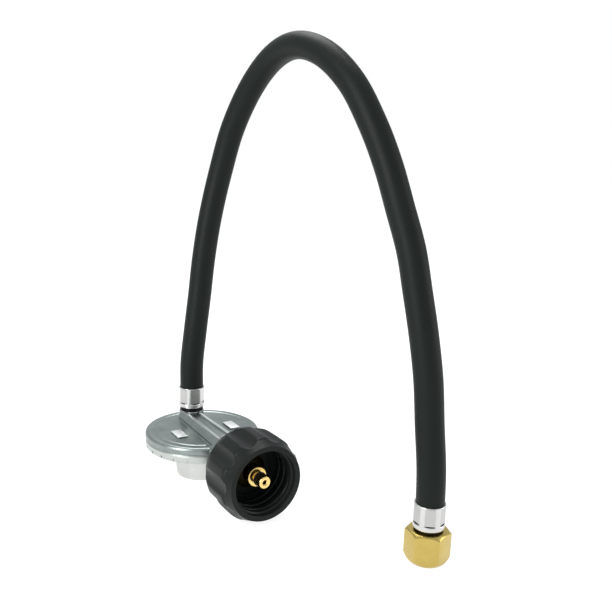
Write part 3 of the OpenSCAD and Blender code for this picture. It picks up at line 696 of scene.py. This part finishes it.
# %% The wheel's section
mouth_r, thread_r = 17.0, 16.2
rim_line = smooth_route([(wheel_r - 5, 0, 0), (wheel_r - 1.9, 2.5, 0), (wheel_r - 0.8, 5, 0), (wheel_r, 9, 0),
                         (wheel_r, wheel_length - 8, 0), (wheel_r - 0.9, wheel_length - 5, 0),
                         (wheel_r - 1.9, wheel_length - 2.5, 0), (wheel_r - 2.8, wheel_length, 0)], 9)
thread_low, thread_high = 11.3, wheel_length - 3.6
rows = 84
thread_line = [Vector((thread_r, thread_high + (thread_low - thread_high) * k / rows)) for k in range(rows + 1)]
wheel_outline = [Vector((9.6, 3.3)), Vector((9.6, 0))] + [p.xy for p in rim_line]
wheel_outline += rounded(
    (wheel_r - 3.4, wheel_length), (mouth_r, wheel_length, 0.5), (mouth_r, wheel_length - 3))[1:]
wheel_outline += thread_line + [Vector(p) for p in ((13.22, 11.3), (13.22, 9.8), (12.32, 9.8), (12.32, 6.8),
                                                    (6.06, 6.8), (6.06, 3.3))]
wheel = turned("handwheel_visual", wheel_outline, centre=inlet, along=-Y, steps=240)
print("wheel blank", len(wheel.data.vertices), "vertices")

# %% [markdown]
# `fluted` and `threaded` each say how far from the axis a point of the wheel belongs, from its height and its
# angle. Each vertex then moves straight out or in to that radius.

# %% Cut the flutes and the thread
LOBES = 10
cutter_r, flute_depth = 7.0, 1.9
cutter_away = wheel_r - flute_depth + cutter_r
flute_end = wheel_length - 5.5
soft = 0.5
thread_pitch, thread_height = 5.08, 0.6


def ramped(value, low, high):
    t = min(max((value - low) / (high - low), 0), 1)
    return t * t * (3 - 2 * t)


def fluted(radius, height, angle):
    """The radius after a ball-ended cutter has passed, blended softly into the lobes."""
    pitch = 2 * math.pi / LOBES
    off = angle % pitch - pitch / 2
    under = cutter_r**2 - (cutter_away * math.sin(off)) ** 2 - max(height - flute_end, 0) ** 2
    if under <= 0:
        return radius
    cut = cutter_away * math.cos(off) - math.sqrt(under)
    overlap = max(soft - abs(radius - cut), 0) / soft
    return min(radius, cut) - overlap**2 * soft / 4


def threaded(radius, height, angle):
    """The radius of the thread wall, with a ridge that climbs one pitch in each turn."""
    phase = (height / thread_pitch - angle / (2 * math.pi)) % 1
    crest = 1 - ramped(abs(phase - 0.5) * 2, 0.35, 0.62)
    fade = ramped(height, thread_low, thread_low + 3) * (1 - ramped(height, thread_high - 3, thread_high))
    return radius - thread_height * crest * fade


for vertex in wheel.data.vertices:
    x, z = vertex.co.x / mm, vertex.co.z / mm - inlet.z
    height = inlet.y - vertex.co.y / mm
    radius, angle = math.hypot(x, z), math.atan2(x, -z)
    new = radius
    if radius > wheel_r - 5.1 and height < wheel_length - 1:
        new = fluted(radius, height, angle)
    elif abs(radius - thread_r) < 0.01:
        new = threaded(radius, height, angle)
    vertex.co.x, vertex.co.z = x * new / radius * mm, (z * new / radius + inlet.z) * mm
dress(wheel, black_plastic, "handwheel", "black_plastic", "handwheel")

# %% [markdown]
# ## The inlet nipple
# The brass nipple carries the wheel on its shaft. Its nose seals in the tank's valve, and the small mouth in
# the nose lets gas in. The grooves and collars come straight off the lathe, with only the burrs broken.

# %% Turn the nipple and its ring seal
nipple_collar = inlet.y + 56.1
nipple = turned("inlet_nipple_visual", rounded(
    (3.2, -4.5), (5.6, -4.5, 0.3), (5.6, 0), (8, 0, 0.3), (8, 3, 0.3), (6, 3), (6, nipple_collar),
    (8.5, nipple_collar, 0.4), (8.5, nipple_collar + 2.5, 0.4), (4.8, nipple_collar + 4),
    (4.6, inlet.y + 64, 0.2), (5.35, inlet.y + 64.2, 0.2),
    (5.35, inlet.y + 67, 0.5), (2.5, inlet.y + 67), (2.5, inlet.y + 69.8), (3.25, inlet.y + 70, 0.2),
    (3.25, inlet.y + 75, 0.7), (1.6, inlet.y + 75, 0.15), (1.1, inlet.y + 74.4), (1.1, inlet.y + 64),
    (3.2, inlet.y + 63)),
    centre=inlet, along=-Y, steps=112)
dress(nipple, nipple_brass, "regulator", "bright_brass", "inlet_nipple")

seal_low, seal_high = box_mm("nose_seal")
seal_middle = (seal_low + seal_high) / 2
bpy.ops.mesh.primitive_torus_add(major_radius=3.11 * mm, minor_radius=0.59 * mm, major_segments=72,
                                 minor_segments=20, rotation=(math.pi / 2, 0, 0), location=seal_middle * mm)
seal = bpy.context.object
seal.name = "nose_ring_seal"
bpy.ops.object.transform_apply(location=True, rotation=True, scale=True)
dress(seal, nitrile, "regulator", "nitrile_rubber", "nose_seal")

# %% [markdown]
# ## Ferrules
# A ferrule is a thin steel sleeve squeezed on to the hose by six jaws. The jaws leave six shallow flats that
# stop short of the closed end, where the metal keeps its round shoulder. One function makes both ferrules, by
# turning the sleeve and then pressing the vertices in under the jaws.

# %% Press two ferrules
JAWS = 6
sleeve_r = 7.5
jaw_depth = 0.65


def ferrule(name, corner_low, node, jaw_turn):
    middle_x = (corner_low[0].x + corner_low[1].x) / 2
    middle_y = (corner_low[0].y + corner_low[1].y) / 2
    low, top = corner_low[0].z, corner_low[1].z - corner_low[0].z
    wall = [Vector((sleeve_r, 0.9 + (top - 1.8) * k / 40)) for k in range(41)]
    outline = rounded((3.12, 0), (sleeve_r, 0, 0.7), (sleeve_r, 0.9))[:-1] + wall
    outline += rounded((sleeve_r, top - 0.9), (sleeve_r, top, 0.35), (6.6, top, 0.15), (6.6, 0.8), (3.12, 0.8))[1:]
    sleeve = turned(name, outline, centre=(middle_x, middle_y, low), steps=128)
    for vertex in sleeve.data.vertices:
        x, y = vertex.co.x / mm - middle_x, vertex.co.y / mm - middle_y
        height, radius = vertex.co.z / mm - low, math.hypot(x, y)
        off = (math.atan2(y, x) - jaw_turn + math.pi / JAWS) % (2 * math.pi / JAWS) - math.pi / JAWS
        flat = (sleeve_r - jaw_depth) / math.cos(off)
        pressed = ramped(height, 2.3, 2.7) * (1 - ramped(height, top - 1.0, top - 0.3))
        if radius > 7.0 and flat < radius:
            scale = 1 + (flat / radius - 1) * pressed
            vertex.co.x, vertex.co.y = (middle_x + x * scale) * mm, (middle_y + y * scale) * mm
    # painted shade on the pressed flats, and a painted shadow at the foot of the flats
    steel = turned_metal(name + "_steel", (0.56, 0.56, 0.55), (0.66, 0.66, 0.65), 0.20,
                         centre=(middle_x * mm, middle_y * mm, low * mm), jaw_shade=(7.28, 1.9, 2.9))
    dress(sleeve, steel, "regulator", "ferrule_steel", node)
    return sleeve


ferrule("regulator_ferrule_visual", near_ferrule, "regulator_ferrule", math.radians(-95))
far_sleeve = ferrule("far_ferrule_visual", far_ferrule, "far_ferrule", math.radians(-128))

# %% [markdown]
# ## The flare nut
# The nut is hexagon bar with both ends turned to a cone, so each flat ends in a curve where the cone crosses
# it. That is just how we make it: a six-sided prism, cut by a turned shape. The thread inside is cut by a
# second turned shape whose wall carries the climbing ridge.

# %% Cut the nut from hexagon bar
corner_r = nut_flats / math.sqrt(3)
NUT_TURN = 12.5
nut = rod((nut_middle.x, nut_middle.y, 0), (nut_middle.x, nut_middle.y, nut_height), corner_r, 6)
nut.name = nut.data.name = "flare_nut_visual"
bpy.ops.transform.rotate(value=math.radians(NUT_TURN), orient_axis="Z",
                         center_override=(nut_middle.x * mm, nut_middle.y * mm, 0))
bpy.ops.object.transform_apply(location=True, rotation=True, scale=True)
chamfer = turned("chamfer", rounded(
    (0, 0), (8.6, 0), (corner_r + 0.1, 2.8), (corner_r + 0.1, nut_height - 1.5), (9.0, nut_height), (0, nut_height)),
    centre=(nut_middle.x, nut_middle.y, 0), steps=160)
combine(nut, chamfer, "INTERSECT")
apply(nut, "BEVEL", width=0.18 * mm, segments=2, limit_method="ANGLE", angle_limit=math.radians(20))
tap_r, tap_length = 7.2, 8.5
tap_rows = 60
tap_outline = [Vector((0, -1)), Vector((tap_r + 0.4, -1)), Vector((tap_r + 0.4, 0.1))]
tap_outline += [Vector((tap_r, 0.4 + (tap_length - 0.4) * k / tap_rows)) for k in range(tap_rows + 1)]
tap_outline += [Vector(p) for p in ((tap_r + 0.3, tap_length + 0.1), (tap_r + 0.3, nut_height - 1.8),
                                    (4.56, nut_height - 1.8), (4.56, nut_height + 1), (0, nut_height + 1))]
tap = turned("tap", tap_outline, centre=(nut_middle.x, nut_middle.y, 0), steps=96)
TAP_PITCH = 1.41
for vertex in tap.data.vertices:
    x, y = vertex.co.x / mm - nut_middle.x, vertex.co.y / mm - nut_middle.y
    radius, height = math.hypot(x, y), vertex.co.z / mm
    if abs(radius - tap_r) < 0.01:
        phase = (height / TAP_PITCH - math.atan2(y, x) / (2 * math.pi)) % 1
        scale = (tap_r - 0.5 * (1 - ramped(abs(phase - 0.5) * 2, 0.2, 0.8))) / radius
        vertex.co.x, vertex.co.y = (nut_middle.x + x * scale) * mm, (nut_middle.y + y * scale) * mm
combine(nut, tap)
dress(nut, nut_brass, "flare_nut", "bright_brass", "flare_nut")

# %% [markdown]
# Now the fitting on its far end exists: the hose is half a metre of stiff hose that leaves the near ferrule and
# carries the far ferrule, the stem and the nut.

# %% [markdown]
# ## Springs
# A spring is a round wire wound in a helix, closer together at its ends so that it stands flat. We sweep the
# same tube as the hose's along a helix.

# %% Wind the springs
def helix(centre, along, coil_r, wire_r, length, turns):
    centre, side = Vector(centre), X
    other = along.cross(side)
    line, steps = [], int(turns * 28)
    for k in range(steps + 1):
        t = k / steps
        eased = min(max((t - 0.5) / 0.8 + 0.5, 0), 1) * 0.8 + t * 0.2
        a = 2 * math.pi * turns * t
        away = coil_r * (math.cos(a) * side + math.sin(a) * other)
        line.append((centre + along * (wire_r + eased * (length - 2 * wire_r)) + away) * mm)
    return line


def cap_ends(piece):
    bpy.ops.object.select_all(action="DESELECT")
    bpy.context.view_layer.objects.active = piece
    bpy.ops.object.mode_set(mode="EDIT")
    bpy.ops.mesh.select_all(action="DESELECT")
    bpy.ops.mesh.select_non_manifold()
    bpy.ops.mesh.edge_face_add()
    close_mesh()


main_low, main_high = box_mm("main_spring")
main_wire = 0.75
main_line = helix((0, 0, main_low.z), Z, (main_high.x - main_low.x) / 2 - main_wire, main_wire,
                  main_high.z - main_low.z, 5)
main_spring = swept_tube("main_spring_visual", main_line, main_wire * mm, 16)
cap_ends(main_spring)
dress(main_spring, spring_steel, "regulator", "spring_steel", "main_spring")
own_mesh(main_spring)

small_low, small_high = box_mm("poppet_spring")
small_length = small_high.y - small_low.y
small_wire = 0.25
small_line = helix((0, small_low.y, inlet.z), Y, (small_high.x - small_low.x) / 2 - small_wire, small_wire,
                   small_length, 4)
poppet_spring = swept_tube("poppet_spring_visual", small_line, small_wire * mm, 12)
cap_ends(poppet_spring)
dress(poppet_spring, spring_steel, "regulator", "spring_steel", "poppet_spring")
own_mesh(poppet_spring)

# %% [markdown]
# ## Finishes for the CAD pieces that stay
# The inner works keep their CAD shapes, which are already right, and take our finishes in their material slots.

# %% Dress the CAD nodes
kept = {
    inner_brass: ["adjuster_disc", "diaphragm_stem", "valve_carrier", "orifice_nozzle", "flow_poppet", "flow_seat"],
    # painted shade: these two are dark because they sit in shadow
    shade_steel: ["outlet_insert", "bushing_ring"],
    stem_brass: ["flare_stem"],
    plated_steel: ["vent_screen", "stem_nut"],
    spring_steel: ["lever", "lever_pin"],
    plate_aluminium: ["diaphragm_plate"],
    nitrile: ["diaphragm", "seat_disc"],
    bushing_plastic: ["thermal_bushing"],
}
for finish, names in kept.items():
    for name in names:
        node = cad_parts[name]
        for slot in node.material_slots:
            slot.material = finish
print(sum(len(names) for names in kept.values()), "CAD nodes dressed")

# %% [markdown]
# ## Table, lights and background
# The object stands on a lit white sheet, as on a product table, so its shadow stays soft. A large lamp on the
# left draws the long highlight down the hose, a smaller one on the right opens the shadows, and the room is a
# pale grey for reflections but white where the camera looks straight at it.

# %% Floor and lamps
bpy.ops.mesh.primitive_plane_add(size=12, location=(0, 0, -0.0003))
floor = bpy.context.object
floor.name = "floor"
sheet = Finish("white_sheet", Base_Color=(0.30, 0.30, 0.30), Roughness=0.9, Specular_IOR_Level=0.0,
               Emission_Color=(1, 1, 1), Emission_Strength=0.85)
floor.data.materials.append(sheet.material)
bpy.ops.object.select_all(action="DESELECT")


def lamp(name, place, aim, width, height, power):
    light = bpy.data.lights.new(name, "AREA")
    light.shape = "RECTANGLE"
    light.size, light.size_y, light.energy = width, height, power
    holder = bpy.data.objects.new(name, light)
    bpy.context.scene.collection.objects.link(holder)
    holder.location = place
    holder.rotation_euler = (Vector(aim) - Vector(place)).to_track_quat("-Z", "Y").to_euler()


lamp("key", (-0.75, -0.25, 0.45), (0, -0.05, 0.1), 0.22, 0.7, 7)
lamp("top", (0.15, 0.35, 0.9), (0, -0.05, 0), 0.5, 0.5, 5)
lamp("fill", (0.7, -0.5, 0.35), (0, -0.05, 0.1), 0.2, 0.7, 2)
print("three lamps")

# %% [markdown]
# The room lights the object a pale blue-grey at seven tenths of full strength. Where the camera looks past the
# object at the room itself, it sees plain white.

# %% The room
world = bpy.data.worlds.new("studio")
bpy.context.scene.world = world
world.use_nodes = True
nodes, links = world.node_tree.nodes, world.node_tree.links
seen = nodes.new("ShaderNodeLightPath")
room_light = nodes["Background"]
room_light.inputs["Color"].default_value = (0.95, 0.98, 1.0, 1)
room_light.inputs["Strength"].default_value = 0.7
white = nodes.new("ShaderNodeBackground")
white.inputs["Strength"].default_value = 1.0
white.inputs["Color"].default_value = (1, 1, 1, 1)
mix = nodes.new("ShaderNodeMixShader")
links.new(seen.outputs["Is Camera Ray"], mix.inputs[0])
links.new(room_light.outputs[0], mix.inputs[1])
links.new(white.outputs[0], mix.inputs[2])
links.new(mix.outputs[0], nodes["World Output"].inputs["Surface"])
bpy.context.scene.view_settings.view_transform = "Standard"
print("room ready")
